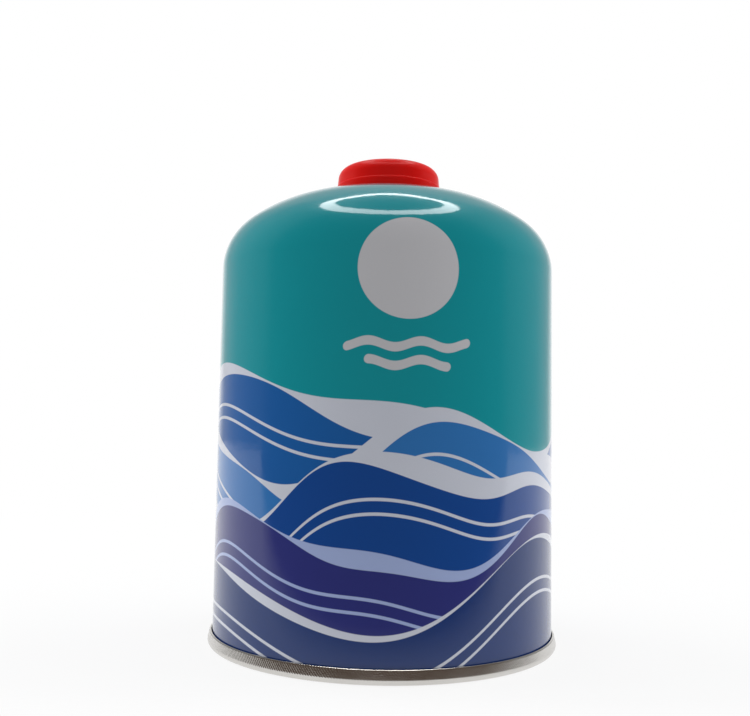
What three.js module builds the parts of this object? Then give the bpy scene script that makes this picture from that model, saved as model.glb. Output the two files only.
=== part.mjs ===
// Fuel canister with a screw valve, cap on. Millimetres, +Z up.
// The origin is on the axis, in the plane that the bottom seam stands on.
// A drawn steel can, sealed and full, with a seamed end, a crimped valve and a snap cap.
import * as THREE from 'three'

// Clearance between pieces that touch on the real canister
const gap = 0.3

// Can: a straight wall, a rounded shoulder and a dome that goes level round the valve
const canRadius = 55
const wallLength = 116.25
const shoulderRadius = 19.2
const domeRise = 25.54
const crestRadius = 17.5

// Double seam that joins the end to the can, and the sheet of the end
const endSheet = 0.4
const seamHeight = 4.35
const seamLip = 1.1
const seamFloor = 1.2
const seamFootWall = 0.8
const seamInnerRound = 0.6
const seamLand = 0.8
const seamLipRound = 0.5
const seamLipFlat = 0.1

// Concave end: its wall goes up from the seam and bends into an arched panel
const chuckHeight = 4
const chuckBend = 1.2
const panelRise = 8

// Curled edge of the opening that the valve cup is crimped into
const openingRadius = 12.7
const curlRadius = 1.45
const curlHeight = 1.85

// Valve cup: rim over the curl, crimped wall, channel floor and threaded neck
const cupSheet = 0.4
const cupRimRound = 0.8
const cupDepth = 8.1
const crimpWidth = 0.8
const crimpDrop = 3.9
const crimpLength = 1.4
const cupCorner = 0.8
const neckRadius = 5.556
const neckRise = 3.9
const neckWall = 0.8
const neckFillet = 0.8
const neckChamfer = 0.4
const neckHoleRadius = 2.6

// Seals
const cupSealThickness = 0.5
const cupSealInset = 0.65
const stemSealThickness = 1.2
const stemSealFit = 0.3

// Valve inside the neck: housing, stem and return spring
const housingWall = 1.06
const housingFloor = 1.8
const housingDepth = 9.6
const housingChamfer = 0.5
const inletRadius = 0.8
const inletWall = 1.2
const inletLength = 2.8
const stemRadius = 1.3
const stemTopDrop = 1
const stemCollar = 0.5
const stemCollarHeight = 1.5
const stemTailRadius = 1.5
const stemTravel = 2
const stemTailEndGap = 1.4
const dimpleRadius = 0.7
const dimpleDepth = 0.6
const springWire = 0.7
const springTurns = 5

// Cap: a skirt round the valve cup's rim, a ledge, and a narrower crown that seats on the rim
const capFit = 0.3
const capSkirtWall = 1.1
const capSkirtHeight = 3.95
const capLedge = 0.3
const capWall = 1.2
const capDraft = 0.25
const capCorner = 4
const capCrown = 0.25
const capFlatRadius = 10
const capCeiling = 1.35
const capInnerCorner = 2.8
const capHeadroom = 2.7

// How finely round shapes are divided
const canSegments = 56
const valveSegments = 32
const capSegments = 40
const smallSegments = 20

// Heights and radii that follow from the sizes above
const footRadius = canRadius - seamFootWall
const chuckRadius = footRadius - gap - endSheet
const lipRadius = canRadius + gap
const seamRadius = lipRadius + seamLip
const shoulderZ = seamHeight + wallLength
const crestZ = shoulderZ + domeRise

const curlOuter = openingRadius + 2 * curlRadius
const curlTop = crestZ + curlHeight
const curlCentreZ = curlTop - curlRadius
const cupSealZ = curlTop + gap
const rimInside = cupSealZ + cupSealThickness + gap
const rimTop = rimInside + cupSheet
const rimRadius = curlOuter + gap + cupSheet
const cupRadius = openingRadius - gap
const cupInner = cupRadius - cupSheet
const cupFloor = rimTop - cupDepth
const cupUnder = cupFloor - cupSheet
const crimpZ = rimTop - crimpDrop

const neckTop = rimTop + neckRise
const neckInner = neckRadius - neckWall
const neckPlate = neckTop - neckWall
const stemSealZ = neckPlate - gap - stemSealThickness
const housingRadius = neckInner - gap
const housingInner = housingRadius - housingWall
const housingTop = stemSealZ - gap
const housingInside = housingTop - housingDepth
const housingUnder = housingInside - housingFloor
const inletOuter = inletRadius + inletWall
const inletEnd = housingUnder - inletLength

const collarTop = stemSealZ - gap
const collarUnder = collarTop - stemCollarHeight
const collarRadius = housingInner - stemCollar
const stemTop = neckTop - stemTopDrop
const tailEnd = housingInside + stemTravel + stemTailEndGap

const capInner = rimRadius + capFit
const capSkirt = capInner + capSkirtWall
const capRadius = capSkirt - capLedge
const capBore = capRadius - capWall
const capFoot = crestZ + gap
const capSeat = rimTop + gap
const capInside = neckTop + capHeadroom
const capTop = capInside + capCeiling

const point = (r, z) => new THREE.Vector2(r, z)

// Part of an ellipse in the half plane, with angles in degrees from the outward direction
function arc(r, z, width, height, from, to, steps) {
  const points = []
  for (let i = 0; i <= steps; i++) {
    const angle = THREE.MathUtils.degToRad(from + ((to - from) * i) / steps)
    points.push(point(r + width * Math.cos(angle), z + height * Math.sin(angle)))
  }
  return points
}

// A round corner that runs smoothly into a shallow arch and ends level, from the edge inwards.
// offset moves the whole outline outwards, so that two sides of a sheet stay parallel.
function arch({ edge, foot, corner, flat, rise, cornerSteps, archSteps }, offset = 0) {
  const round = Math.min(corner, 0.9 * rise)
  const run = edge - round - flat
  const climb = rise - round
  const reach = (run * run + climb * climb) / (2 * climb)
  const turn = THREE.MathUtils.radToDeg(Math.acos(run / reach))
  const cornerArc = arc(edge - round, foot, round + offset, round + offset, 0, turn, cornerSteps)
  const archRadius = reach + round + offset
  const archZ = foot + rise - reach - round
  const archArc = arc(flat, archZ, archRadius, archRadius, turn, 90, archSteps)
  return [...cornerArc, ...archArc.slice(1)]
}

// Turns an outline of radius and height into a closed solid about the Z axis
function turned(outline, segments) {
  const geometry = new THREE.LatheGeometry(outline, segments)
  geometry.rotateX(Math.PI / 2)
  return geometry
}

// An outline that doesn't touch the axis is closed on itself
const ring = (outline, segments) => turned([...outline, outline[0].clone()], segments)

const domeShape = {
  edge: canRadius,
  foot: shoulderZ,
  corner: shoulderRadius,
  flat: crestRadius,
  rise: domeRise,
  cornerSteps: 5,
  archSteps: 5,
}

const panelShape = {
  edge: chuckRadius,
  foot: chuckHeight,
  corner: chuckBend,
  flat: 0,
  rise: panelRise,
  cornerSteps: 2,
  archSteps: 3,
}

// Can and contents: one solid, with a well in its top that the valve hangs in
function canBody() {
  const wellRadius = cupRadius + crimpWidth + gap
  return turned(
    [
      ...arch(panelShape, endSheet + gap).reverse(),
      point(footRadius, seamFloor + gap),
      point(canRadius, seamFloor + gap),
      ...arch(domeShape),
      point(curlOuter, crestZ),
      ...arc(openingRadius + curlRadius, curlCentreZ, curlRadius, curlRadius, 0, 180, 6),
      point(openingRadius, crimpZ + gap),
      point(wellRadius, crimpZ - crimpWidth),
      point(wellRadius, cupUnder - gap),
      point(housingRadius + gap, cupUnder - gap),
      point(housingRadius + gap, housingUnder - gap),
      point(inletOuter + gap, housingUnder - gap),
      point(inletOuter + gap, inletEnd - gap),
      point(0, inletEnd - gap),
    ],
    canSegments,
  )
}

// Seamed end: a channel that holds the can's lower edge, and the arched panel inside it
function bottomEnd() {
  const landStart = chuckRadius + seamInnerRound
  const landEnd = landStart + seamLand
  const outerRound = seamRadius - landEnd
  const lipRound = Math.min(seamLipRound, 0.9 * seamLip)
  // The side leans inwards, as the line that touches both its round foot and its round lip
  const lipCentre = lipRadius + seamLipFlat
  const across = lipCentre - landEnd
  const above = seamHeight - lipRound - outerRound
  const lean = Math.atan2(above, across) - Math.acos((outerRound - lipRound) / Math.hypot(across, above))
  const slant = (lean * 180) / Math.PI
  return turned(
    [
      ...arch(panelShape).reverse(),
      ...arc(landStart, seamInnerRound, seamInnerRound, seamInnerRound, 180, 270, 2),
      ...arc(landEnd, outerRound, outerRound, outerRound, -90, 0, 4),
      ...arc(landEnd, outerRound, outerRound, outerRound, 0, slant, 1).slice(1),
      ...arc(lipCentre, seamHeight - lipRound, lipRound, lipRound, slant, 90, 3),
      point(lipRadius, seamHeight),
      point(lipRadius, seamFloor),
      point(chuckRadius + endSheet, seamFloor),
      ...arch(panelShape, endSheet),
    ],
    canSegments,
  )
}

// Valve cup: drawn sheet, rolled over the curl, crimped below it, with the neck in the middle
function valveCup() {
  const crimpInner = cupInner + crimpWidth
  const crimpOuter = cupRadius + crimpWidth
  const crimpLow = crimpZ - crimpWidth - crimpLength
  const outerCorner = cupCorner + cupSheet
  const rimOuterRound = cupRimRound + cupSheet
  const rimVoid = rimRadius - cupSheet
  return ring(
    [
      point(rimRadius, crestZ + gap),
      ...arc(rimRadius - rimOuterRound, rimTop - rimOuterRound, rimOuterRound, rimOuterRound, 0, 90, 3),
      ...arc(cupInner + rimOuterRound, rimTop - rimOuterRound, rimOuterRound, rimOuterRound, 90, 180, 3),
      point(cupInner, crimpZ),
      point(crimpInner, crimpZ - crimpWidth),
      point(crimpInner, crimpLow),
      ...arc(crimpInner - cupCorner, cupFloor + cupCorner, cupCorner, cupCorner, 0, -90, 2),
      ...arc(neckRadius + neckFillet, cupFloor + neckFillet, neckFillet, neckFillet, 270, 180, 2),
      point(neckRadius, neckTop - neckChamfer),
      point(neckRadius - neckChamfer, neckTop),
      point(neckHoleRadius, neckTop),
      point(neckHoleRadius, neckPlate),
      point(neckInner, neckPlate),
      ...arc(
        neckRadius + neckFillet,
        cupFloor + neckFillet,
        neckFillet + neckWall,
        neckFillet + cupSheet,
        180,
        270,
        2,
      ),
      ...arc(crimpInner - cupCorner, cupFloor + cupCorner, outerCorner, outerCorner, -90, 0, 2),
      point(crimpOuter, crimpZ - crimpWidth),
      point(cupRadius, crimpZ),
      ...arc(cupRadius + cupRimRound, rimInside - cupRimRound, cupRimRound, cupRimRound, 180, 90, 2),
      ...arc(rimVoid - cupRimRound, rimInside - cupRimRound, cupRimRound, cupRimRound, 90, 0, 2),
      point(rimVoid, crestZ + gap),
    ],
    valveSegments,
  )
}

// A flat washer with square edges
function washer(inner, outer, low, thickness, segments) {
  return ring(
    [
      point(inner, low),
      point(outer, low),
      point(outer, low + thickness),
      point(inner, low + thickness),
    ],
    segments,
  )
}

// Seal between the curl and the rim of the valve cup
function cupSeal() {
  const inner = cupRadius + cupSealInset
  const outer = rimRadius - cupSheet - cupSealInset
  return washer(inner, outer, cupSealZ, cupSealThickness, valveSegments)
}

// Seal that closes on the stem under the neck's top
function stemSeal() {
  return washer(stemRadius + stemSealFit, housingRadius, stemSealZ, stemSealThickness, smallSegments)
}

// Housing: a cup in the neck with a gas inlet at its lower end
function valveHousing() {
  return ring(
    [
      point(inletRadius, inletEnd),
      point(inletOuter, inletEnd),
      point(inletOuter, housingUnder),
      point(housingRadius - housingChamfer, housingUnder),
      point(housingRadius, housingUnder + housingChamfer),
      point(housingRadius, housingTop),
      point(housingInner, housingTop),
      point(housingInner, housingInside),
      point(inletRadius, housingInside),
    ],
    smallSegments,
  )
}

// Stem: a pin with a collar that the spring lifts against the seal
function valveStem() {
  return turned(
    [
      point(0, tailEnd),
      point(stemTailRadius, tailEnd),
      point(stemTailRadius, collarUnder),
      point(collarRadius, collarUnder),
      point(collarRadius, collarTop),
      point(stemRadius, collarTop),
      point(stemRadius, stemTop),
      point(dimpleRadius, stemTop),
      point(dimpleRadius, stemTop - dimpleDepth),
      point(0, stemTop - dimpleDepth),
    ],
    smallSegments,
  )
}

class SpringCurve extends THREE.Curve {
  constructor(radius, low, high, turns) {
    super()
    Object.assign(this, { radius, low, high, turns })
  }

  getPoint(t) {
    const angle = 2 * Math.PI * this.turns * t
    const z = this.low + (this.high - this.low) * t
    return new THREE.Vector3(this.radius * Math.cos(angle), this.radius * Math.sin(angle), z)
  }
}

// Return spring: round wire, half way between the stem's tail and the housing's wall
function valveSpring() {
  const wire = springWire / 2
  const radius = (stemTailRadius + housingInner) / 2
  const low = housingInside + gap + wire
  const high = collarUnder - gap - wire
  const section = new THREE.Shape().absarc(0, 0, wire, 0, 2 * Math.PI)
  const stepsPerTurn = 12
  return new THREE.ExtrudeGeometry(section, {
    curveSegments: 3,
    steps: Math.round(springTurns * stepsPerTurn),
    bevelEnabled: false,
    extrudePath: new SpringCurve(radius, low, high, springTurns),
  })
}

// Cap: open underneath; its skirt goes over the rim and the shoulder inside it rests on the rim
function cap() {
  const cornerRise = capCorner + capCrown
  const crownShape = {
    edge: capRadius - capDraft,
    foot: capTop - cornerRise,
    corner: capCorner,
    flat: capFlatRadius,
    rise: cornerRise,
    cornerSteps: 4,
    archSteps: 1,
  }
  return turned(
    [
      point(0, capInside),
      ...arc(capBore - capInnerCorner, capInside - capInnerCorner, capInnerCorner, capInnerCorner, 90, 0, 3),
      point(capBore, capSeat),
      point(capInner, capSeat),
      point(capInner, capFoot),
      point(capSkirt, capFoot),
      point(capSkirt, capFoot + capSkirtHeight),
      point(capRadius, capFoot + capSkirtHeight + capLedge),
      ...arch(crownShape),
      point(0, capTop),
    ],
    capSegments,
  )
}

const printedSteel = { color: 0x00707a, roughness: 0.3, metalness: 0.2 }
const tinplate = { color: 0xb9b7b0, roughness: 0.28, metalness: 1 }
const brass = { color: 0xc2a255, roughness: 0.3, metalness: 1 }
const springSteel = { color: 0xa8abae, roughness: 0.35, metalness: 1 }
const redPlastic = { color: 0xd2120c, roughness: 0.3, metalness: 0 }
const blackRubber = { color: 0x1b1b1c, roughness: 0.8, metalness: 0 }
const whitePlastic = { color: 0xe6e4de, roughness: 0.5, metalness: 0 }

const canister = new THREE.Group()

function addPiece(name, geometry, finish) {
  const mesh = new THREE.Mesh(geometry, new THREE.MeshStandardMaterial(finish))
  mesh.name = name
  canister.add(mesh)
}

addPiece('can_body', canBody(), printedSteel)
addPiece('bottom_end', bottomEnd(), tinplate)
addPiece('valve_cup', valveCup(), tinplate)
addPiece('cup_gasket', cupSeal(), blackRubber)
addPiece('stem_gasket', stemSeal(), blackRubber)
addPiece('valve_housing', valveHousing(), whitePlastic)
addPiece('valve_spring', valveSpring(), springSteel)
addPiece('valve_stem', valveStem(), brass)
addPiece('cap', cap(), redPlastic)

export default canister
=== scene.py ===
# %% [markdown]
# A screw-valve fuel canister: a drawn steel can printed all round, with a bright seam at its foot and a red
# snap cap over the valve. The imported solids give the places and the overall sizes. This script dresses them:
# it draws the turned pieces again with finer curves and gives each the finish of its real material.

from collections import namedtuple
import math

import bmesh
import bpy
from mathutils import Matrix, Vector


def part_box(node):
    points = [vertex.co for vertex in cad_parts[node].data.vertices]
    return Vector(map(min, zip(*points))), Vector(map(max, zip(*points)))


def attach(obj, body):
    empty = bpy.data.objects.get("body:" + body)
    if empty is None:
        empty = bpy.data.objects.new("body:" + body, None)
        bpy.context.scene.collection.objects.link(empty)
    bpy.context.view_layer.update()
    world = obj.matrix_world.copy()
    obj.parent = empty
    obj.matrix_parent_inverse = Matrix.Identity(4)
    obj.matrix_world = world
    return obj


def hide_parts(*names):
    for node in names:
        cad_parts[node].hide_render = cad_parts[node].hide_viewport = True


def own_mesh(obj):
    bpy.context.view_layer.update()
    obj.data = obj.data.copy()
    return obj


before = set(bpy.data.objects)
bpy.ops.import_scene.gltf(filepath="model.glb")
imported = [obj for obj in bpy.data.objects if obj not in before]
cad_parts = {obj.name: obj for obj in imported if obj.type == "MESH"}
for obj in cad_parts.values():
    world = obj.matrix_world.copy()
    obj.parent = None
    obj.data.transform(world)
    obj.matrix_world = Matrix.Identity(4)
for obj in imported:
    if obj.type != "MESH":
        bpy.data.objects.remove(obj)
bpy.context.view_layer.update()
print("solids", sorted(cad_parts))

# %% [markdown]
# The camera comes first. It stands low and near, at less than half of the can's height, and looks slightly
# up, so that the crown of the dome hides the foot of the cap. The picture's own perspective gives its
# distance. A camera could be turned with Euler angles, but its own three axes, worked out from a turn, a
# pitch and a roll, are easier to follow. Depth of field stays off.

# %% Camera
IMAGE_WIDTH = 750
FOCAL_PIXELS = 903.5
SENSOR_WIDTH = 36.0
NEAR_CLIP = 0.01
CAMERA_PLACE = Vector((0.0, -0.3041, 0.0692))
CAMERA_TURN = math.radians(0.683)
CAMERA_PITCH = math.radians(4.40)
CAMERA_ROLL = math.radians(0.956)


def camera_axes(turn, pitch, roll):
    """The camera's right, up and backward directions."""
    level = Vector((math.cos(turn), math.sin(turn), 0.0))
    ahead = Vector((-math.sin(turn), math.cos(turn), 0.0))
    upright = Vector((0.0, 0.0, 1.0))
    forward = math.cos(pitch) * ahead + math.sin(pitch) * upright
    above = -math.sin(pitch) * ahead + math.cos(pitch) * upright
    right = math.cos(roll) * level + math.sin(roll) * above
    up = -math.sin(roll) * level + math.cos(roll) * above
    return right, up, -forward


camera_data = bpy.data.cameras.new("photo_camera")
camera_data.sensor_width = SENSOR_WIDTH
camera_data.lens = FOCAL_PIXELS / IMAGE_WIDTH * SENSOR_WIDTH
camera_data.clip_start = NEAR_CLIP
camera = bpy.data.objects.new("photo_camera", camera_data)
bpy.context.scene.collection.objects.link(camera)
facing = Matrix(camera_axes(CAMERA_TURN, CAMERA_PITCH, CAMERA_ROLL)).transposed()
camera.matrix_world = Matrix.Translation(CAMERA_PLACE) @ facing.to_4x4()
bpy.context.scene.camera = camera
bpy.context.scene.view_settings.view_transform = "Standard"
print("lens", round(camera_data.lens, 2), "mm")

# %% [markdown]
# Every piece of the can and the valve is turned or drawn about one axis, so it starts as an outline: a list
# of points of radius and height, in millimetres. Its round stretches come from one function for an arc. Its
# domes come from another, which joins a tight corner to a shallow arch so that neither shows a kink.

# %% Helpers for outlines
MM = 0.001


def arc(r, z, width, height, start, end, steps):
    """Points on part of an ellipse, in the half plane of radius and height, angles in degrees."""
    points = []
    for i in range(steps + 1):
        angle = math.radians(start + (end - start) * i / steps)
        points.append((r + width * math.cos(angle), z + height * math.sin(angle)))
    return points


def arch(edge, foot, corner, flat, rise, offset=0.0, corner_steps=18, arch_steps=24):
    """A round corner that runs into a shallow arch and ends level, from the edge inwards."""
    run = edge - corner - flat
    climb = rise - corner
    reach = (run * run + climb * climb) / (2 * climb)
    turn = math.degrees(math.acos(run / reach))
    radius = corner + offset
    first = arc(edge - corner, foot, radius, radius, 0, turn, corner_steps)
    radius = reach + corner + offset
    second = arc(flat, foot + rise - reach - corner, radius, radius, turn, 90, arch_steps)
    return first + second[1:]


def level_points(start, end, steps):
    """Evenly spaced points on a straight line, both ends left out."""
    shares = [i / steps for i in range(1, steps)]
    return [(start[0] + (end[0] - start[0]) * s, start[1] + (end[1] - start[1]) * s) for s in shares]


print("a test arch ends at", arch(10.0, 0.0, 2.0, 0.0, 5.0)[-1])

# %% [markdown]
# A turned mesh carries such an outline round the axis. A screw modifier could do that too, but mesh code lets
# a thread move single points. Edges sharper than a set angle are marked sharp, and all the rest is shaded
# smooth, as drawn sheet and moulded plastic are.

# %% Helpers for turned meshes
SHARP_EDGE = math.radians(38)
SMALLEST_RADIUS = 1e-7


def add_object(name, mesh):
    """An object with this mesh, placed in the scene."""
    piece = bpy.data.objects.new(name, mesh)
    bpy.context.scene.collection.objects.link(piece)
    return piece


def shade(mesh):
    """Smooth faces, with the edges that are really sharp kept crisp."""
    work = bmesh.new()
    work.from_mesh(mesh)
    bmesh.ops.recalc_face_normals(work, faces=work.faces)
    for face in work.faces:
        face.smooth = True
    for edge in work.edges:
        if len(edge.link_faces) == 2 and edge.calc_face_angle() > SHARP_EDGE:
            edge.smooth = False
    work.to_mesh(mesh)
    work.free()


def turned(name, outline, segments, closed=False, move=None):
    """A closed mesh turned about the Z axis from an outline in millimetres.

    move(r, z, angle) may give a point another radius, for a thread.
    """
    verts, rings = [], []
    for r, z in outline:
        if r < SMALLEST_RADIUS:
            rings.append([len(verts)])
            verts.append((0.0, 0.0, z * MM))
            continue
        ring = []
        for i in range(segments):
            angle = 2 * math.pi * i / segments
            radius = move(r, z, angle) if move else r
            ring.append(len(verts))
            verts.append((radius * MM * math.cos(angle), radius * MM * math.sin(angle), z * MM))
        rings.append(ring)
    faces = []
    next_rings = rings[1:] + rings[:1] if closed else rings[1:]
    for low, high in zip(rings, next_rings):
        for i in range(segments):
            j = (i + 1) % segments
            if len(low) == 1:
                faces.append((low[0], high[j], high[i]))
            elif len(high) == 1:
                faces.append((low[i], low[j], high[0]))
            else:
                faces.append((low[i], low[j], high[j], high[i]))
    mesh = bpy.data.meshes.new(name)
    mesh.from_pydata(verts, [], faces)
    mesh.validate()
    shade(mesh)
    print(name, len(mesh.polygons), "faces")
    return add_object(name, mesh)


# %% [markdown]
# Materials are built from nodes, and a few small helpers keep that readable. One makes an empty material with
# its shader, one adds a maths node whose inputs may be numbers or sockets, and one covers a colour by another
# where a mask is 1. A value that is the same all over is set on the shader itself, so that an exporter finds
# it.

# %% Helpers for material nodes
def new_finish(name):
    """An empty node material: the material, its nodes, and its shader."""
    finish = bpy.data.materials.new(name)
    finish.use_nodes = True
    return finish, finish.node_tree, finish.node_tree.nodes["Principled BSDF"]


def feed(tree, slot, value):
    """Sets an input to a number or a colour, or links it to a socket."""
    if isinstance(value, tuple):
        slot.default_value = (*value, 1.0)
    elif isinstance(value, (int, float)):
        slot.default_value = value
    else:
        tree.links.new(value, slot)


def maths(tree, operation, *values, clamp=False):
    """The output of a maths node with these inputs."""
    node = tree.nodes.new("ShaderNodeMath")
    node.operation = operation
    node.use_clamp = clamp
    for slot, value in zip(node.inputs, values):
        feed(tree, slot, value)
    return node.outputs[0]


def mix_colour(tree, mask, under, over):
    """The colour under, covered by the colour over where the mask is 1."""
    node = tree.nodes.new("ShaderNodeMix")
    node.data_type = "RGBA"
    for slot, value in ((node.inputs[0], mask), (node.inputs[6], under), (node.inputs[7], over)):
        feed(tree, slot, value)
    return node.outputs[2]


def joined(tree, x, y, z):
    """A vector made of three values."""
    node = tree.nodes.new("ShaderNodeCombineXYZ")
    for slot, value in zip(node.inputs, (x, y, z)):
        feed(tree, slot, value)
    return node.outputs[0]


# %% [markdown]
# Every pattern here is worked out from the point's own place on the object: the print from the angle round
# the axis and the height, and the grain and the gloss from noise. A place on the object moves with it, so
# nothing slides when a joint moves or the camera does, and no piece needs to be unwrapped.

# %% Helpers for places and patterns
def object_place(tree):
    """The point's own place in metres."""
    return tree.nodes.new("ShaderNodeTexCoord").outputs["Object"]


def parts_of(tree, vector):
    """The X, Y and Z of a place or a direction."""
    node = tree.nodes.new("ShaderNodeSeparateXYZ")
    tree.links.new(vector, node.inputs[0])
    return tuple(node.outputs)


def angle_round(tree, x, y):
    """The angle round the axis in radians, 0 at the front and growing to the right."""
    return maths(tree, "ARCTAN2", x, maths(tree, "MULTIPLY", y, -1.0))


def length_of(tree, x, y):
    """The length of a flat step from its two parts."""
    squares = maths(tree, "ADD", maths(tree, "MULTIPLY", x, x), maths(tree, "MULTIPLY", y, y))
    return maths(tree, "SQRT", squares)


def noise(tree, place, scale, detail=4.0, rough=0.5):
    """Smooth random values between 0 and 1; scale is in cells a metre."""
    node = tree.nodes.new("ShaderNodeTexNoise")
    node.inputs["Scale"].default_value = scale
    node.inputs["Detail"].default_value = detail
    node.inputs["Roughness"].default_value = rough
    tree.links.new(place, node.inputs["Vector"])
    return node.outputs["Fac"]


def spread(tree, value, low, high):
    """Carries a value between 0 and 1 over to the range from low to high."""
    return maths(tree, "MULTIPLY_ADD", value, high - low, low)


def bump(tree, shader, height, distance, normal="Normal"):
    """Relief for the shader, where a height of 1 stands for the distance in metres."""
    node = tree.nodes.new("ShaderNodeBump")
    node.inputs["Strength"].default_value = 1.0
    node.inputs["Distance"].default_value = distance
    tree.links.new(height, node.inputs["Height"])
    tree.links.new(node.outputs["Normal"], shader.inputs[normal])


def dress(piece, finish, body, node):
    """Gives a piece its finish, the body that it rides on and the solid that it stands for."""
    piece.data.materials.clear()
    piece.data.materials.append(finish)
    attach(piece, body)
    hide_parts(node)


# %% [markdown]
# The can is drawn from one sheet: a straight wall, a shoulder that turns tightly at first, and a dome that
# ends level round the valve, where the edge is curled over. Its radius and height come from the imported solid,
# and the values below are the die's own sizes.

# %% Sizes of the can
can_low, can_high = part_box("can_body")
CAN_RADIUS = round(can_high.x / MM, 3)
CURL_TOP = round(can_high.z / MM, 3)
CAN_FOOT = round(can_low.z / MM, 3)
CURL_HEIGHT = 1.85
CURL_RADIUS = 1.45
OPENING_RADIUS = 12.7
CREST_RADIUS = 17.5
DOME_RISE = 25.54
SHOULDER_RADIUS = 19.2
GAP = 0.3
END_SHEET = 0.4
FOOT_WALL = 0.8
WELL_RADIUS = 13.5
CRIMP_Z = 145.59
CRIMP_WIDTH = 0.8
CAN_SEGMENTS = 288

CREST_Z = CURL_TOP - CURL_HEIGHT
SHOULDER_Z = CREST_Z - DOME_RISE
CHUCK_RADIUS = CAN_RADIUS - FOOT_WALL - GAP - END_SHEET
print("can", 2 * CAN_RADIUS, "mm wide, shoulder at", round(SHOULDER_Z, 2), "mm")

# %% [markdown]
# The outline starts on the axis just above the end's arched panel, goes round the foot and up the wall, over
# the dome and the curl, and down into the well that the valve hangs in. It stays a closed body, so that
# nothing is open when the cap is lifted, and each neighbour is a small clearance away from it.

# %% The can
PANEL = {"edge": CHUCK_RADIUS, "foot": 4.0, "corner": 1.2, "flat": 0.0, "rise": 8.0,
         "corner_steps": 8, "arch_steps": 20}
cup_low, cup_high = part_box("valve_cup")
housing_low, housing_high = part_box("valve_housing")
well_floor = cup_low.z / MM - GAP
socket_radius = housing_high.x / MM + GAP
socket_floor = housing_low.z / MM - GAP
over_panel = arch(**PANEL, offset=END_SHEET + GAP)
dome = arch(CAN_RADIUS, SHOULDER_Z, SHOULDER_RADIUS, CREST_RADIUS, DOME_RISE,
            corner_steps=40, arch_steps=48)
can_outline = (
    list(reversed(over_panel))
    + [(CAN_RADIUS - FOOT_WALL, CAN_FOOT), (CAN_RADIUS, CAN_FOOT)]
    + level_points((CAN_RADIUS, CAN_FOOT), (CAN_RADIUS, SHOULDER_Z), 12)
    + dome
    + [(OPENING_RADIUS + 2 * CURL_RADIUS, CREST_Z)]
    + arc(OPENING_RADIUS + CURL_RADIUS, CURL_TOP - CURL_RADIUS, CURL_RADIUS, CURL_RADIUS, 0, 180, 20)
    + [(OPENING_RADIUS, CRIMP_Z + GAP), (WELL_RADIUS, CRIMP_Z - CRIMP_WIDTH), (WELL_RADIUS, well_floor)]
    + [(socket_radius, well_floor), (socket_radius, socket_floor), (0.0, socket_floor)]
)
can_shell = turned("printed_can", can_outline, CAN_SEGMENTS)

# %% [markdown]
# The can is printed flat colour on flat colour, in a few inks: a teal ground, and blues and violets with pale
# crests over it. Inks are usually picked as values from 0 to 255, and a shader works in linear light, so one
# function turns the one into the other.

# %% Print colours
def ink(red, green, blue):
    """A printed colour from its 0 to 255 values, as linear light."""
    def linear(value):
        share = value / 255
        return share / 12.92 if share <= 0.04045 else ((share + 0.055) / 1.055) ** 2.4
    return linear(red), linear(green), linear(blue)


TEAL = ink(0, 149, 159)
PALE = ink(208, 212, 224)
LILAC = ink(164, 180, 222)
SKY = ink(46, 116, 184)
MID = ink(18, 92, 164)
ROYAL = ink(8, 70, 146)
NAVY = ink(4, 48, 112)
INDIGO = ink(44, 50, 122)
DISC = ink(202, 202, 206)
print("teal in linear light", [round(v, 3) for v in TEAL])

# %% [markdown]
# The print is layered swells that roll round the can, under a plain pale disc and two wavy bars. A painted
# image would need a file, and faces for each colour would need a very fine mesh. But each swell is only a
# height that changes with the angle round the can, so the shader can compare a point's height with it, and
# its edges stay crisp at any distance. Sines with whole numbers of waves meet at the back without a join.

# %% Swells
EDGE_SOFTNESS = 0.10
LINE_DEPTHS = (13.0, 17.0)
LINE_HALF = 0.45
RIPPLE_LEAN = 0.4
CREST_LEAN = 0.6
CREST_MEAN = 0.62
CREST_CHANGE = 0.55
Swell = namedtuple(
    "Swell",
    "mean rise waves shift lean ripple ripples ripple_shift crest crest_shift crest_ink body_ink",
)
SWELLS = [
    Swell(76.0, 13.0, 2, 3.30, 0.45, 3.0, 3, 0.4, 9.0, 0.9, PALE, MID),
    Swell(64.0, 11.0, 3, 0.20, 0.50, 2.5, 4, 1.9, 7.0, 2.2, PALE, SKY),
    Swell(52.0, 10.0, 2, 0.90, 0.50, 3.0, 5, 2.6, 6.0, 0.2, PALE, ROYAL),
    Swell(38.0, 9.0, 3, 4.10, 0.50, 2.0, 4, 0.7, 4.5, 1.5, LILAC, INDIGO),
    Swell(25.0, 11.0, 2, 5.40, 0.55, 2.5, 3, 4.0, 2.5, 3.0, PALE, NAVY),
]
print(len(SWELLS), "swells, the highest up to", SWELLS[0].mean + SWELLS[0].rise, "mm and its ripple")

# %% [markdown]
# A swell has a mean height, a long wave that leans over to one side, and a shorter ripple that makes it less
# regular. Its crest is a band below that edge whose width also changes with the angle, and two thin lines
# follow the edge further down. Heights and widths are in millimetres, and shifts in radians. The list goes
# from the far swell to the near one, and each covers the one before.

# %% One swell
def wave(tree, angle, waves, shift, lean):
    """A sine round the can whose crests lean over."""
    phase = maths(tree, "MULTIPLY_ADD", angle, float(waves), shift)
    push = maths(tree, "MULTIPLY", maths(tree, "SINE", phase), lean)
    return maths(tree, "SINE", maths(tree, "ADD", phase, push))


def inside(tree, distance):
    """1 where a distance in millimetres is positive, with a printed edge's slight softness."""
    return maths(tree, "MULTIPLY_ADD", distance, 1 / (2 * EDGE_SOFTNESS), 0.5, clamp=True)


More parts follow.
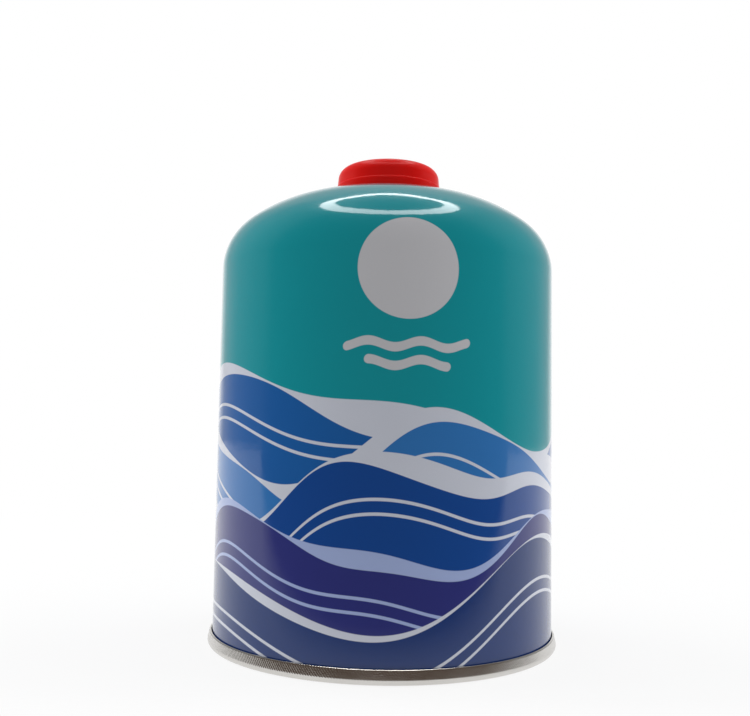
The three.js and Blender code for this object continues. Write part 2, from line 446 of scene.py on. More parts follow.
def swell(tree, colour, angle, height, row):
    """The colour so far, covered by a swell with its crest and its two lines."""
    rolling = wave(tree, angle, row.waves, row.shift, row.lean)
    top = maths(tree, "MULTIPLY_ADD", rolling, row.rise, row.mean)
    rippling = wave(tree, angle, row.ripples, row.ripple_shift, RIPPLE_LEAN)
    top = maths(tree, "MULTIPLY_ADD", rippling, row.ripple, top)
    depth = maths(tree, "SUBTRACT", top, height)
    colour = mix_colour(tree, inside(tree, depth), colour, row.crest_ink)
    swing = wave(tree, angle, row.waves + 1, row.crest_shift, CREST_LEAN)
    width = maths(tree, "MULTIPLY_ADD", swing, CREST_CHANGE * row.crest, CREST_MEAN * row.crest)
    body = inside(tree, maths(tree, "SUBTRACT", depth, width))
    colour = mix_colour(tree, body, colour, row.body_ink)
    for line_depth in LINE_DEPTHS:
        off = maths(tree, "ABSOLUTE", maths(tree, "SUBTRACT", depth, line_depth))
        line = inside(tree, maths(tree, "SUBTRACT", LINE_HALF, off))
        colour = mix_colour(tree, line, colour, row.crest_ink)
    return colour


# %% [markdown]
# The disc and the bars are laid out on the can's unrolled surface: the arc length from the disc's middle to
# the side, and the height. A point is in the disc if it is near enough to the middle, and in a bar if it is
# near enough to the bar's wavy line.

# %% Disc and bars
DISC_TURN = math.radians(6.5)
DISC_HEIGHT = 114.0
DISC_RADIUS = 14.5
BARS = [(92.5, 17.0), (87.3, 11.0)]
BAR_HALF = 1.3
BAR_WAVES = 0.42
BAR_RISE = 0.9


def disc(tree, colour, across, height):
    """The colour so far, with the disc over it."""
    above = maths(tree, "SUBTRACT", height, DISC_HEIGHT)
    reach = length_of(tree, across, above)
    mask = inside(tree, maths(tree, "SUBTRACT", DISC_RADIUS, reach))
    return mix_colour(tree, mask, colour, DISC)


def wavy_bar(tree, colour, across, height, bar_height, half_length):
    """The colour so far, with a thin bar with round ends over it."""
    bend = maths(tree, "SINE", maths(tree, "MULTIPLY", across, BAR_WAVES))
    above = maths(tree, "SUBTRACT", height, bar_height)
    off = maths(tree, "SUBTRACT", above, maths(tree, "MULTIPLY", bend, BAR_RISE))
    past = maths(tree, "SUBTRACT", maths(tree, "ABSOLUTE", across), half_length)
    reach = length_of(tree, off, maths(tree, "MAXIMUM", past, 0.0))
    mask = inside(tree, maths(tree, "SUBTRACT", BAR_HALF, reach))
    return mix_colour(tree, mask, colour, DISC)


def print_design(tree, angle, height):
    """The print's colour at a point of the can, from the ground up."""
    colour = TEAL
    for row in SWELLS:
        colour = swell(tree, colour, angle, height, row)
    across = maths(tree, "MULTIPLY", maths(tree, "SUBTRACT", angle, DISC_TURN), CAN_RADIUS)
    colour = disc(tree, colour, across, height)
    for bar_height, half_length in BARS:
        colour = wavy_bar(tree, colour, across, height, bar_height, half_length)
    return colour


print("disc", 2 * DISC_RADIUS, "mm across at", DISC_HEIGHT, "mm, with", len(BARS), "bars below")

# %% [markdown]
# The varnish over the ink is a clear coat: it gives the crisp highlight, while the ink below is satin. Real
# varnish has a faint orange peel, and a handled can has hairline scuffs and rubbed patches that show only
# where a light is reflected. So both go into the roughness and the bump, and hardly into the colour. The
# print stops at the curl, and the curl is bare tin.

# %% Printed steel
PRINT_EDGE = 0.35
BARE_TIN = (0.60, 0.58, 0.55)
GRAIN_SCALE = 2600.0
CLOUD_SCALE = 28.0
RUBBED_SCALE = 45.0
PEEL_SCALE = 520.0
SCUFF_SCALE = 180.0
SCUFF_ROUND = 0.055
SCUFF_UP = 6.0
SCUFF_LEVEL = 0.60
SCUFF_DULLNESS = 0.18
INK_RELIEF = 0.00002
VARNISH_RELIEF = 0.000012


def toned(tree, colour, tone):
    """A colour made lighter or darker by a value near 1."""
    node = tree.nodes.new("ShaderNodeVectorMath")
    node.operation = "SCALE"
    tree.links.new(colour, node.inputs[0])
    tree.links.new(tone, node.inputs["Scale"])
    return node.outputs[0]


def scuffs(tree, angle, z):
    """Stretched noise, thinned to a few streaks."""
    around = maths(tree, "MULTIPLY", angle, SCUFF_ROUND)
    place = joined(tree, around, 0.0, maths(tree, "MULTIPLY", z, SCUFF_UP))
    streaks = noise(tree, place, SCUFF_SCALE, detail=6.0, rough=0.7)
    few = maths(tree, "SUBTRACT", streaks, SCUFF_LEVEL, clamp=True)
    return maths(tree, "MULTIPLY", few, 2.0, clamp=True)


def printed_steel():
    """Ink and varnish on steel, with bare tin above the print's edge."""
    finish, tree, shader = new_finish("printed_steel")
    where = object_place(tree)
    x, y, z = parts_of(tree, where)
    angle = angle_round(tree, x, y)
    height = maths(tree, "MULTIPLY", z, 1 / MM)
    colour = print_design(tree, angle, height)
    bare = maths(tree, "GREATER_THAN", height, CREST_Z + PRINT_EDGE)
    colour = mix_colour(tree, bare, colour, BARE_TIN)
    grain = noise(tree, where, GRAIN_SCALE, detail=3.0)
    cloud = noise(tree, where, CLOUD_SCALE, detail=3.0)
    tone = maths(tree, "ADD", spread(tree, grain, -0.02, 0.02), spread(tree, cloud, 0.975, 1.025))
    tree.links.new(toned(tree, colour, tone), shader.inputs["Base Color"])
    rubbed = spread(tree, noise(tree, where, RUBBED_SCALE, detail=5.0, rough=0.6), 0.30, 0.42)
    dull = maths(tree, "MULTIPLY", scuffs(tree, angle, z), SCUFF_DULLNESS)
    tree.links.new(maths(tree, "ADD", rubbed, dull), shader.inputs["Roughness"])
    peel = noise(tree, where, PEEL_SCALE, detail=2.0)
    bump(tree, shader, maths(tree, "ADD", peel, maths(tree, "MULTIPLY", grain, 0.15)), INK_RELIEF)
    bump(tree, shader, peel, VARNISH_RELIEF, "Coat Normal")
    shader.inputs["Specular IOR Level"].default_value = 0.06
    shader.inputs["Coat Weight"].default_value = 1.0
    shader.inputs["Coat Roughness"].default_value = 0.075
    shader.inputs["Coat IOR"].default_value = 1.5
    print(finish.name, len(tree.nodes), "nodes")
    return finish


dress(can_shell, printed_steel(), "can", "can_body")

# %% [markdown]
# The end is tinplate, joined to the can by a double seam: five layers of sheet that two seaming rollers roll
# flat. The seam is rounded above and below, and its side is almost flat and leans in by some degrees. A
# leaning side mirrors the room and not the floor, and so the seam shows a bright line, a dark band and a
# light one. The panel inside arches up, away from the table.

# %% The seamed end
SEAM_HEIGHT = 4.35
SEAM_FLOOR = 1.2
SEAM_LAND = 0.8
SEAM_INNER_ROUND = 0.6
SEAM_LIP_ROUND = 0.5
SEAM_LIP_FLAT = 0.1
SEAM_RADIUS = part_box("bottom_end")[1].x / MM
LIP_RADIUS = CAN_RADIUS + GAP
land_start = CHUCK_RADIUS + SEAM_INNER_ROUND
land_end = land_start + SEAM_LAND
outer_round = SEAM_RADIUS - land_end
lip_centre = LIP_RADIUS + SEAM_LIP_FLAT
lip_height = SEAM_HEIGHT - SEAM_LIP_ROUND

# The side is the common tangent of the two rounds
across = lip_centre - land_end
above = lip_height - outer_round
lean = math.atan2(above, across) - math.acos((outer_round - SEAM_LIP_ROUND) / math.hypot(across, above))
SEAM_LEAN = math.degrees(lean)
foot_end = arc(land_end, outer_round, outer_round, outer_round, 0, SEAM_LEAN, 3)
lip_round = arc(lip_centre, lip_height, SEAM_LIP_ROUND, SEAM_LIP_ROUND, SEAM_LEAN, 90, 10)
print("the seam's side leans in by", round(SEAM_LEAN, 1), "degrees")

end_outline = (
    list(reversed(arch(**PANEL)))
    + arc(land_start, SEAM_INNER_ROUND, SEAM_INNER_ROUND, SEAM_INNER_ROUND, 180, 270, 8)
    + arc(land_end, outer_round, outer_round, outer_round, -90, 0, 16)
    + foot_end[1:]
    + level_points(foot_end[-1], lip_round[0], 10)
    + lip_round
    + [(LIP_RADIUS, SEAM_HEIGHT), (LIP_RADIUS, SEAM_FLOOR), (CHUCK_RADIUS + END_SHEET, SEAM_FLOOR)]
    + arch(**PANEL, offset=END_SHEET)
)
seamed_end = turned("seamed_end", end_outline, CAN_SEGMENTS)

# %% [markdown]
# Tinplate is bright steel with its rolling grain, and with duller patches where it was handled. On the seam
# the rollers leave fine slanted marks. They are far too fine for the mesh, so a sine of the angle and the
# height makes them as relief, on the outside only and worn in places.

# %% Tinplate
TIN_DARK = (0.58, 0.56, 0.53)
TIN_LIGHT = (0.70, 0.685, 0.66)
ROLLED_SCALE = 3200.0
ROLLED_ROUND = 0.01
PATCH_SCALE = 60.0
TIN_RELIEF = 0.000024
HATCH_COUNT = 430
HATCH_SLANT = 7000.0


def roller_marks(tree, angle, reach, z, patch):
    """Relief of the seaming rollers, from 0 to a little over 1."""
    phase = maths(tree, "MULTIPLY_ADD", z, HATCH_SLANT, maths(tree, "MULTIPLY", angle, float(HATCH_COUNT)))
    marks = spread(tree, maths(tree, "SINE", phase), 0.5, 0.95)
    outside = maths(tree, "GREATER_THAN", reach, LIP_RADIUS * MM)
    worn = maths(tree, "MULTIPLY", outside, spread(tree, patch, 0.4, 1.2))
    return maths(tree, "MULTIPLY", marks, worn)


def tinplate(name, hatched):
    """Bright tinned steel with a fine grain round the axis and, if hatched, roller marks."""
    finish, tree, shader = new_finish(name)
    where = object_place(tree)
    x, y, z = parts_of(tree, where)
    angle = angle_round(tree, x, y)
    reach = length_of(tree, x, y)
    grain_place = joined(tree, maths(tree, "MULTIPLY", angle, ROLLED_ROUND), reach, z)
    grain = noise(tree, grain_place, ROLLED_SCALE, detail=3.0, rough=0.6)
    patch = noise(tree, where, PATCH_SCALE, detail=4.0, rough=0.6)
    tree.links.new(mix_colour(tree, patch, TIN_DARK, TIN_LIGHT), shader.inputs["Base Color"])
    rough = maths(tree, "ADD", spread(tree, grain, 0.10, 0.26), spread(tree, patch, -0.02, 0.10))
    tree.links.new(rough, shader.inputs["Roughness"])
    relief = maths(tree, "MULTIPLY", grain, 0.5)
    if hatched:
        relief = maths(tree, "ADD", relief, roller_marks(tree, angle, reach, z, patch))
    bump(tree, shader, relief, TIN_RELIEF)
    shader.inputs["Metallic"].default_value = 1.0
    return finish


dress(seamed_end, tinplate("tinplate_end", hatched=True), "can", "bottom_end")
print("roller marks", round(2 * math.pi * LIP_RADIUS / HATCH_COUNT, 2), "mm apart")

# %% [markdown]
# The valve cup is drawn sheet too. Its rim rolls over the can's curl, its wall is spread outwards below the
# curl to hold it there, and the neck in the middle carries the stove thread. The sizes are those of a cup for
# a one inch opening, and of a thread with 28 turns to the inch.

# %% Sizes of the valve cup
CUP_SHEET = 0.4
CUP_CORNER = 0.8
RIM_ROUND = 0.8
CRIMP_LENGTH = 1.4
CUP_DEPTH = 8.1
NECK_RADIUS = 5.556
NECK_WALL = 0.8
NECK_FILLET = 0.8
NECK_CHAMFER = 0.4
NECK_HOLE = 2.6
NECK_RISE = 3.9
NECK_STEPS = 110
VALVE_SEGMENTS = 96

NECK_TOP = cup_high.z / MM
RIM_TOP = NECK_TOP - NECK_RISE
RIM_RADIUS = cup_high.x / MM
CUP_RADIUS = OPENING_RADIUS - GAP
CUP_INNER = CUP_RADIUS - CUP_SHEET
CUP_FLOOR = RIM_TOP - CUP_DEPTH
rim_inside = RIM_TOP - CUP_SHEET
rim_void = RIM_RADIUS - CUP_SHEET
outer_rim_round = RIM_ROUND + CUP_SHEET
neck_inner = NECK_RADIUS - NECK_WALL
crimp_low = CRIMP_Z - CRIMP_WIDTH - CRIMP_LENGTH
crimp_inner = CUP_INNER + CRIMP_WIDTH
crimp_outer = CUP_RADIUS + CRIMP_WIDTH
print("neck", round(2 * NECK_RADIUS, 2), "mm across,", round(NECK_TOP - CUP_FLOOR, 2), "mm above its floor")

# %% [markdown]
# The thread is modelled on the mesh itself. A bump in the material would leave the neck's outline straight.
# So each point of the neck's side goes in by its place along the helix, with the rounded crest and root of
# a rolled thread, and the thread fades out at both ends.

# %% The thread
THREAD_PITCH = 25.4 / 28
THREAD_DEPTH = 0.5
THREAD_FADE = 0.7
THREAD_RUNOUT = 1.6
THREAD_ROUNDNESS = 0.8
ON_SIDE = 0.01
THREAD_START = CUP_FLOOR + NECK_FILLET + THREAD_RUNOUT
THREAD_END = NECK_TOP - NECK_CHAMFER


def helix_thread(r, z, angle):
    """The neck's side with its thread; every other point of the cup stays where it is."""
    if abs(r - NECK_RADIUS) > ON_SIDE or not THREAD_START <= z <= THREAD_END:
        return r
    share = min(1.0, (z - THREAD_START) / THREAD_FADE, (THREAD_END - z) / THREAD_FADE)
    turn = (z / THREAD_PITCH - angle / (2 * math.pi)) % 1.0
    groove = 0.5 - 0.5 * math.cos(2 * math.pi * turn)
    return r - THREAD_DEPTH * share * groove ** THREAD_ROUNDNESS


print("thread", round((THREAD_END - THREAD_START) / THREAD_PITCH, 1), "turns")

# %% [markdown]
# The cup's outline is one closed loop, because the cup is sheet all over. It goes along the top side from the
# rim to the neck's hole and comes back along the underside, one sheet away.

# %% The valve cup
cup_above = (
    [(RIM_RADIUS, CREST_Z + GAP)]
    + arc(RIM_RADIUS - outer_rim_round, RIM_TOP - outer_rim_round,
          outer_rim_round, outer_rim_round, 0, 90, 10)
    + arc(CUP_INNER + outer_rim_round, RIM_TOP - outer_rim_round,
          outer_rim_round, outer_rim_round, 90, 180, 10)
    + [(CUP_INNER, CRIMP_Z), (crimp_inner, CRIMP_Z - CRIMP_WIDTH), (crimp_inner, crimp_low)]
    + arc(crimp_inner - CUP_CORNER, CUP_FLOOR + CUP_CORNER, CUP_CORNER, CUP_CORNER, 0, -90, 8)
    + arc(NECK_RADIUS + NECK_FILLET, CUP_FLOOR + NECK_FILLET, NECK_FILLET, NECK_FILLET, 270, 180, 8)
    + level_points((NECK_RADIUS, CUP_FLOOR + NECK_FILLET), (NECK_RADIUS, THREAD_END), NECK_STEPS)
    + [(NECK_RADIUS, THREAD_END), (NECK_RADIUS - NECK_CHAMFER, NECK_TOP), (NECK_HOLE, NECK_TOP)]
)
cup_below = (
    [(NECK_HOLE, NECK_TOP - NECK_WALL), (neck_inner, NECK_TOP - NECK_WALL)]
    + arc(NECK_RADIUS + NECK_FILLET, CUP_FLOOR + NECK_FILLET,
          NECK_FILLET + NECK_WALL, NECK_FILLET + CUP_SHEET, 180, 270, 8)
    + arc(crimp_inner - CUP_CORNER, CUP_FLOOR + CUP_CORNER,
          CUP_CORNER + CUP_SHEET, CUP_CORNER + CUP_SHEET, -90, 0, 8)
    + [(crimp_outer, CRIMP_Z - CRIMP_WIDTH), (CUP_RADIUS, CRIMP_Z)]
    + arc(CUP_RADIUS + RIM_ROUND, rim_inside - RIM_ROUND, RIM_ROUND, RIM_ROUND, 180, 90, 8)
    + arc(rim_void - RIM_ROUND, rim_inside - RIM_ROUND, RIM_ROUND, RIM_ROUND, 90, 0, 8)
    + [(rim_void, CREST_Z + GAP)]
)
valve_cup = turned("mounting_cup", cup_above + cup_below, VALVE_SEGMENTS, closed=True, move=helix_thread)
dress(valve_cup, tinplate("tinplate_cup", hatched=False), "can", "valve_cup")

# %% [markdown]
# Inside the neck sit a rubber seal, the brass stem, its spring and a plastic housing. They are small, and
# only their tops show through the hole in the neck. So one simple finish does for all of them: a colour that
# varies a little, fine relief and uneven gloss. The cup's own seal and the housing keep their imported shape,
# and only get a finish.

# %% Finishes of the small pieces
BROAD_CELLS = 12
DARKER = 0.88
MACHINED_SCALE = 2400.0


def plain_finish(name, colour, rough_low, rough_high, metallic=0.0, scale=900.0):
    """A moulded or turned surface."""
    finish, tree, shader = new_finish(name)
    where = object_place(tree)
    fine = noise(tree, where, scale, detail=4.0, rough=0.6)
    broad = noise(tree, where, scale / BROAD_CELLS, detail=3.0)
    darker = tuple(DARKER * v for v in colour)
    tree.links.new(mix_colour(tree, broad, darker, colour), shader.inputs["Base Color"])
    tree.links.new(spread(tree, fine, rough_low, rough_high), shader.inputs["Roughness"])
    bump(tree, shader, fine, 0.00001)
    shader.inputs["Metallic"].default_value = metallic
    return finish


black_rubber = plain_finish("black_rubber", (0.022, 0.022, 0.023), 0.55, 0.8)
brass = plain_finish("brass", (0.72, 0.53, 0.25), 0.18, 0.34, metallic=1.0, scale=MACHINED_SCALE)
spring_steel = plain_finish("spring_steel", (0.55, 0.56, 0.57), 0.2, 0.35, metallic=1.0, scale=MACHINED_SCALE)
white_plastic = plain_finish("white_plastic", (0.80, 0.79, 0.75), 0.4, 0.55)

for node, finish in (("cup_gasket", black_rubber), ("valve_housing", white_plastic)):
    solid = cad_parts[node]
    solid.data.materials.clear()
    solid.data.materials.append(finish)
    print(node, "gets", finish.name)

# %% [markdown]
# The stem is a turned brass pin. A stove pushes its dimpled end down by two millimetres, and its collar then
# leaves the seal and lets the gas through. It rides on its own body, so that it moves with the joint.

# %% The stem
SMALL_SEGMENTS = 48
STEM_RADIUS = 1.3
STEM_ROUND = 0.15
TAIL_RADIUS = 1.5
COLLAR_HEIGHT = 1.5
DIMPLE_RADIUS = 0.7
DIMPLE_FLOOR_SHARE = 0.7
DIMPLE_DEPTH = 0.6
stem_low, stem_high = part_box("valve_stem")
seal_low, seal_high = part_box("stem_gasket")
COLLAR_RADIUS = stem_high.x / MM
STEM_TOP = stem_high.z / MM
TAIL_END = stem_low.z / MM
COLLAR_TOP = seal_low.z / MM - GAP
COLLAR_UNDER = COLLAR_TOP - COLLAR_HEIGHT
dimple_z = STEM_TOP - DIMPLE_DEPTH
stem_outline = (
    [(0.0, TAIL_END), (TAIL_RADIUS, TAIL_END), (TAIL_RADIUS, COLLAR_UNDER), (COLLAR_RADIUS, COLLAR_UNDER)]
    + [(COLLAR_RADIUS, COLLAR_TOP), (STEM_RADIUS, COLLAR_TOP)]
    + arc(STEM_RADIUS - STEM_ROUND, STEM_TOP - STEM_ROUND, STEM_ROUND, STEM_ROUND, 0, 90, 5)
    + [(DIMPLE_RADIUS, STEM_TOP), (DIMPLE_RADIUS * DIMPLE_FLOOR_SHARE, dimple_z), (0.0, dimple_z)]
)
stem = turned("stem_pin", stem_outline, SMALL_SEGMENTS)
dress(stem, brass, "stem", "valve_stem")

# %% [markdown]
# The stem's seal is a flat rubber ring under the neck's top. Its four rounded edges are four arcs, one after
# the other, and the outline closes on itself.

# %% The stem's seal
SEAL_ROUND = 0.2
SEAL_INNER = STEM_RADIUS + GAP
SEAL_OUTER = seal_high.x / MM
seal_foot = seal_low.z / MM + SEAL_ROUND
seal_head = seal_high.z / MM - SEAL_ROUND
seal_outline = (
    arc(SEAL_OUTER - SEAL_ROUND, seal_foot, SEAL_ROUND, SEAL_ROUND, -90, 0, 4)
    + arc(SEAL_OUTER - SEAL_ROUND, seal_head, SEAL_ROUND, SEAL_ROUND, 0, 90, 4)
    + arc(SEAL_INNER + SEAL_ROUND, seal_head, SEAL_ROUND, SEAL_ROUND, 90, 180, 4)
    + arc(SEAL_INNER + SEAL_ROUND, seal_foot, SEAL_ROUND, SEAL_ROUND, 180, 270, 4)
)
seal = turned("stem_seal", seal_outline, SMALL_SEGMENTS, closed=True)
dress(seal, black_rubber, "can", "stem_gasket")

# %% [markdown]
# The return spring is round wire wound on a helix. A curve with a bevel would make it too, but here the wire
# is a tube of mesh rings, each square to the helix.

# %% The return spring
WIRE_RADIUS = 0.35
WIRE_SIDES = 12
SPRING_TURNS = 5
STEPS_PER_TURN = 40
spring_low, spring_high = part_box("valve_spring")
SPRING_RADIUS = spring_high.x / MM - WIRE_RADIUS


def wire_helix(name):
    """A tube of wire along a helix, with flat ends."""
    low = spring_low.z / MM + WIRE_RADIUS
    high = spring_high.z / MM - WIRE_RADIUS
    steps = SPRING_TURNS * STEPS_PER_TURN
    climb = (high - low) / (2 * math.pi * SPRING_TURNS)
    verts, faces = [], []
    for i in range(steps + 1):
        turn = 2 * math.pi * SPRING_TURNS * i / steps
        out = Vector((math.cos(turn), math.sin(turn), 0.0))
        along = Vector((-math.sin(turn) * SPRING_RADIUS, math.cos(turn) * SPRING_RADIUS, climb)).normalized()
        side = out.cross(along)
        centre = out * SPRING_RADIUS + Vector((0.0, 0.0, low + (high - low) * i / steps))
        for k in range(WIRE_SIDES):
            around = 2 * math.pi * k / WIRE_SIDES
            verts.append((centre + WIRE_RADIUS * (math.cos(around) * out + math.sin(around) * side)) * MM)
    for i in range(steps):
        a, b = i * WIRE_SIDES, (i + 1) * WIRE_SIDES
        for k in range(WIRE_SIDES):
            j = (k + 1) % WIRE_SIDES
            faces.append((a + k, b + k, b + j, a + j))
    faces.append(tuple(range(WIRE_SIDES)))
    faces.append(tuple(reversed(range(steps * WIRE_SIDES, (steps + 1) * WIRE_SIDES))))
    mesh = bpy.data.meshes.new(name)
    mesh.from_pydata([tuple(v) for v in verts], [], faces)
    shade(mesh)
    return add_object(name, mesh)


spring = wire_helix("return_spring")
dress(spring, spring_steel, "can", "valve_spring")
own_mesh(spring)

# %% [markdown]
# The cap is injection moulded: a thin skirt that snaps over the rim, a ledge above it whose round edge
# catches the light, a drafted wall with a big round corner, and a nearly flat top with the small mark of the
# gate in the middle. The mark is a shallow dish with a pip, given as rows of radius and share of its depth.

# %% The cap
SKIRT_HEIGHT = 3.95
LEDGE = 0.3
LEDGE_DROP = 0.45
CAP_WALL = 1.2
CAP_DRAFT = 0.25
CAP_CORNER = 4.0
CAP_CROWN = 0.25
CAP_FLAT = 10.0
CAP_CEILING = 1.35
CAP_INNER_CORNER = 2.8
EDGE_ROUND = 0.12
GATE_DEPTH = 0.25
GATE_DISH = [(1.9, 0.0), (1.6, 0.6), (1.2, 1.0), (0.45, 1.0), (0.35, 0.3), (0.0, 0.2)]
CAP_SEGMENTS = 192
cap_low, cap_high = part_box("cap")
CAP_FOOT = cap_low.z / MM
CAP_TOP = cap_high.z / MM
SKIRT_RADIUS = cap_high.x / MM
CROWN_RADIUS = SKIRT_RADIUS - LEDGE
CAP_BORE = CROWN_RADIUS - CAP_WALL
CAP_INNER = RIM_RADIUS + GAP
CAP_INSIDE = CAP_TOP - CAP_CEILING
CAP_SEAT = RIM_TOP + GAP
ledge_z = CAP_FOOT + SKIRT_HEIGHT
crown_rise = CAP_CORNER + CAP_CROWN
cap_inside = (
    [(0.0, CAP_INSIDE)]
    + arc(CAP_BORE - CAP_INNER_CORNER, CAP_INSIDE - CAP_INNER_CORNER,
          CAP_INNER_CORNER, CAP_INNER_CORNER, 90, 0, 12)
    + [(CAP_BORE, CAP_SEAT), (CAP_INNER, CAP_SEAT), (CAP_INNER, CAP_FOOT + EDGE_ROUND)]
)
cap_outside = (
    [(CAP_INNER + EDGE_ROUND, CAP_FOOT), (SKIRT_RADIUS - EDGE_ROUND, CAP_FOOT)]
    + [(SKIRT_RADIUS, CAP_FOOT + EDGE_ROUND)]
    + arc(CROWN_RADIUS, ledge_z - LEDGE_DROP, LEDGE, LEDGE + LEDGE_DROP, 0, 90, 10)
    + arch(CROWN_RADIUS - CAP_DRAFT, CAP_TOP - crown_rise, CAP_CORNER, CAP_FLAT, crown_rise,
           corner_steps=22, arch_steps=8)
    + [(r, CAP_TOP - share * GATE_DEPTH) for r, share in GATE_DISH]
)
red_cap = turned("snap_cap", cap_inside + cap_outside, CAP_SEGMENTS)

# %% [markdown]
# The plastic is red polyethylene, with a soft, slightly waxy gloss. Light goes a little way into it, which
# keeps its shaded side warm, so the shader has some subsurface scattering at a small scale. The melt's flow
# leaves broad, faint changes of colour, gloss and height.

# %% Red polyethylene
RED_DEEP = ink(230, 8, 3)
RED_BRIGHT = ink(238, 12, 5)
FLOW_SCALE = 70.0
SKIN_SCALE = 1500.0
CAP_RELIEF = 0.000015


def red_polyethylene():
    """Soft red plastic with broad traces of its flow."""
    finish, tree, shader = new_finish("red_polyethylene")
    where = object_place(tree)
    flow = noise(tree, where, FLOW_SCALE, detail=3.0, rough=0.55)
    fine = noise(tree, where, SKIN_SCALE, detail=3.0, rough=0.6)
    tree.links.new(mix_colour(tree, flow, RED_DEEP, RED_BRIGHT), shader.inputs["Base Color"])
    rough = maths(tree, "ADD", spread(tree, flow, 0.24, 0.34), spread(tree, fine, -0.02, 0.05))
    tree.links.new(rough, shader.inputs["Roughness"])
    bump(tree, shader, maths(tree, "ADD", maths(tree, "MULTIPLY", flow, 1.5), fine), CAP_RELIEF)
    shader.inputs["Specular IOR Level"].default_value = 0.13
    shader.inputs["Subsurface Weight"].default_value = 0.15
    shader.inputs["Subsurface Radius"].default_value = (1.0, 0.12, 0.08)
    shader.inputs["Subsurface Scale"].default_value = 0.002
    print(finish.name, len(tree.nodes), "nodes")
    return finish


dress(red_cap, red_polyethylene(), "cap", "cap")

# %% [markdown]
# The can stands on white paper. The camera and the reflections see it lightened towards pure white, and more
# so further off, but it still takes the can's shadow. Its front edge fades out softly, because the varnish
# would mirror a hard edge as a line.

# %% Floor
FLOOR_HALF = 2.5
FLOOR_FRONT = -0.125
FLOOR_FADE = 0.06
FLOOR_LIFT = 0.85
FLOOR_NEAR = 0.10
FLOOR_FAR = 0.45
PAPER_DARK = (0.86, 0.86, 0.86)
PAPER_LIGHT = (0.90, 0.90, 0.90)
FIBRE_SCALE = 300.0


def white_paper():
    """Paper that keeps shadows, mixed with a plain white glow, with a soft front edge."""
    finish, tree, shader = new_finish("white_floor")
    where = object_place(tree)
    x, y = parts_of(tree, where)[:2]
    fibre = noise(tree, where, FIBRE_SCALE, detail=4.0)
    tree.links.new(mix_colour(tree, fibre, PAPER_DARK, PAPER_LIGHT), shader.inputs["Base Color"])
    shader.inputs["Roughness"].default_value = 0.9
    shader.inputs["Specular IOR Level"].default_value = 0.0
    glow = tree.nodes.new("ShaderNodeEmission")
    glow.inputs["Strength"].default_value = 1.0
    path = tree.nodes.new("ShaderNodeLightPath")
    seen = maths(tree, "MAXIMUM", path.outputs["Is Camera Ray"], path.outputs["Is Glossy Ray"])
    seen = maths(tree, "MAXIMUM", seen, path.outputs["Is Transmission Ray"])
    past = maths(tree, "SUBTRACT", length_of(tree, x, y), FLOOR_NEAR)
    far = maths(tree, "MULTIPLY", past, 1 / (FLOOR_FAR - FLOOR_NEAR), clamp=True)
    lift = spread(tree, far, FLOOR_LIFT, 1.0)
    lifted = tree.nodes.new("ShaderNodeMixShader")
    tree.links.new(maths(tree, "MULTIPLY", seen, lift), lifted.inputs[0])
    tree.links.new(shader.outputs[0], lifted.inputs[1])
    tree.links.new(glow.outputs[0], lifted.inputs[2])
    clear = tree.nodes.new("ShaderNodeBsdfTransparent")
    edge = tree.nodes.new("ShaderNodeMixShader")
    ahead = maths(tree, "SUBTRACT", y, FLOOR_FRONT)
    tree.links.new(maths(tree, "MULTIPLY", ahead, 1 / FLOOR_FADE, clamp=True), edge.inputs[0])
    tree.links.new(clear.outputs[0], edge.inputs[1])
    tree.links.new(lifted.outputs[0], edge.inputs[2])
    tree.links.new(edge.outputs[0], tree.nodes["Material Output"].inputs["Surface"])
    return finish


corners = [
    (-FLOOR_HALF, FLOOR_FRONT, 0.0),
    (FLOOR_HALF, FLOOR_FRONT, 0.0),
    (FLOOR_HALF, FLOOR_HALF, 0.0),
    (-FLOOR_HALF, FLOOR_HALF, 0.0),
]
floor_mesh = bpy.data.meshes.new("floor")
floor_mesh.from_pydata(corners, [], [(0, 1, 2, 3)])
floor = add_object("floor", floor_mesh)
floor.data.materials.append(white_paper())
print("floor", 2 * FLOOR_HALF, "m wide")

# %% [markdown]
# The surroundings are white for the camera. In reflections they are a room: dim and warm in front of the can,
# where the camera stands, grey at the sides and white at the back. So the middle of the can keeps its full
# colour, its edges go pale, and the seam gets its dark band. As a lamp the surroundings are weak. The ramp
# runs along the room's depth, from the front at 0 to the back at 1.

# %% Surroundings
SURROUND_DIFFUSE = 0.52
ROOM_STOPS = [
    (0.40, (0.095, 0.068, 0.052, 1.0)),
    (0.52, (0.20, 0.19, 0.18, 1.0)),
    (0.72, (0.27, 0.27, 0.27, 1.0)),
    (0.88, (0.42, 0.42, 0.42, 1.0)),
    (0.97, (1.0, 1.0, 1.0, 1.0)),
]
WHITE = (1.0, 1.0, 1.0)


def room_ramp(tree):
    """The room's colour in the direction of a ray."""
    direction = tree.nodes.new("ShaderNodeTexCoord").outputs["Generated"]
    depth = parts_of(tree, direction)[1]
    ramp = tree.nodes.new("ShaderNodeValToRGB")
    ramp.color_ramp.interpolation = "EASE"
    stops = ramp.color_ramp.elements
    stops[0].position, stops[0].color = ROOM_STOPS[0]
    stops[1].position, stops[1].color = ROOM_STOPS[-1]
    for position, tint in ROOM_STOPS[1:-1]:
        stops.new(position).color = tint
    tree.links.new(maths(tree, "MULTIPLY_ADD", depth, 0.5, 0.5), ramp.inputs[0])
    return ramp.outputs[0]


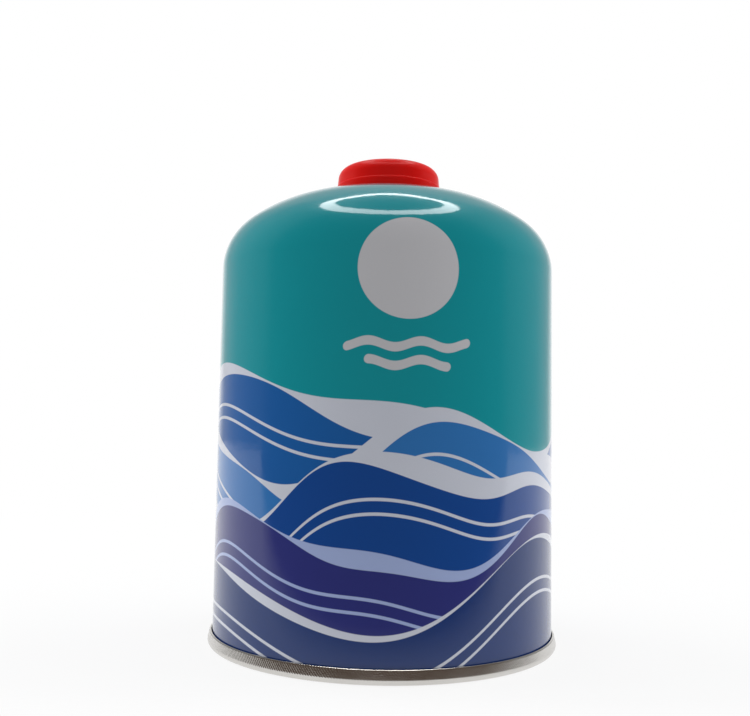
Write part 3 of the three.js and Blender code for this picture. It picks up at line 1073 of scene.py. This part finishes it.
world = bpy.data.worlds.new("white_surroundings")
world.use_nodes = True
tree = world.node_tree
background = tree.nodes["Background"]
room = room_ramp(tree)
path = tree.nodes.new("ShaderNodeLightPath")
to_camera = path.outputs["Is Camera Ray"]
mirror = maths(tree, "MAXIMUM", path.outputs["Is Glossy Ray"], path.outputs["Is Transmission Ray"])
only_mirror = maths(tree, "MULTIPLY", mirror, maths(tree, "SUBTRACT", 1.0, to_camera))
tree.links.new(mix_colour(tree, only_mirror, WHITE, room), background.inputs["Color"])
seen = maths(tree, "MAXIMUM", to_camera, mirror)
tree.links.new(spread(tree, seen, SURROUND_DIFFUSE, 1.0), background.inputs["Strength"])
bpy.context.scene.world = world
print("surroundings at", SURROUND_DIFFUSE, "as a lamp")

# %% [markdown]
# Two large soft lamps at the sides light the can evenly. Lamps of this size would cover half of the varnish
# with their reflections, so they are left out of those.

# %% Side lamps
LAMP_AIM = Vector((0.0, 0.0, 0.08))
LAMP_SIZE = (1.0, 1.1)


def soft_lamp(name, place, power):
    """A rectangular lamp that faces the middle of the can."""
    data = bpy.data.lights.new(name, "AREA")
    data.shape = "RECTANGLE"
    data.size, data.size_y = LAMP_SIZE
    data.energy = power
    lamp = bpy.data.objects.new(name, data)
    lamp.location = place
    lamp.rotation_mode = "QUATERNION"
    lamp.rotation_quaternion = (LAMP_AIM - Vector(place)).to_track_quat("-Z", "Y")
    bpy.context.scene.collection.objects.link(lamp)
    lamp.visible_camera = False
    lamp.visible_glossy = False
    print(name, power, "W")


soft_lamp("left_lamp", (-0.90, 0.28, 0.68), 9.0)
soft_lamp("right_lamp", (0.90, 0.26, 0.68), 8.0)

# %% [markdown]
# The oval highlight on the dome is the reflection of a ring-shaped lamp overhead. Only a real shape up there
# moves and bends on the dome as a highlight does, so the ring is a mesh that glows. It shows in reflections
# and lights nothing by itself, so the tops of the cap and dome don't burn out. Its inner edge isn't centred
# in its outer edge, and so the ring is broader in front.

# %% Ring lamp
RING_HEIGHT = 0.50
RING_ACROSS = 0.004
RING_STRENGTH = 7.0
RING_SEGMENTS = 96
Oval = namedtuple("Oval", "half_width half_length centre")
RING_EDGES = [Oval(0.190, 0.206, -0.004), Oval(0.136, 0.158, 0.018)]
BLACK = (0.0, 0.0, 0.0, 1.0)
WHITE_LIGHT = (1.0, 1.0, 1.0, 1.0)


def ring_lamp():
    """A flat ring between two ovals, which glows."""
    verts, faces = [], []
    for oval in RING_EDGES:
        for i in range(RING_SEGMENTS):
            angle = 2 * math.pi * i / RING_SEGMENTS
            x = RING_ACROSS + oval.half_width * math.cos(angle)
            y = oval.centre + oval.half_length * math.sin(angle)
            verts.append((x, y, RING_HEIGHT))
    for i in range(RING_SEGMENTS):
        j = (i + 1) % RING_SEGMENTS
        faces.append((i, i + RING_SEGMENTS, j + RING_SEGMENTS, j))
    mesh = bpy.data.meshes.new("ring_lamp")
    mesh.from_pydata(verts, [], faces)
    lamp = add_object("ring_lamp", mesh)
    glow, tree, shader = new_finish("lamp_glow")
    shader.inputs["Base Color"].default_value = BLACK
    shader.inputs["Specular IOR Level"].default_value = 0.0
    shader.inputs["Emission Color"].default_value = WHITE_LIGHT
    shader.inputs["Emission Strength"].default_value = RING_STRENGTH
    lamp.data.materials.append(glow)
    lamp.visible_camera = False
    lamp.visible_diffuse = False
    print("ring lamp", 2 * RING_EDGES[0].half_width, "m wide at", RING_HEIGHT, "m")


ring_lamp()
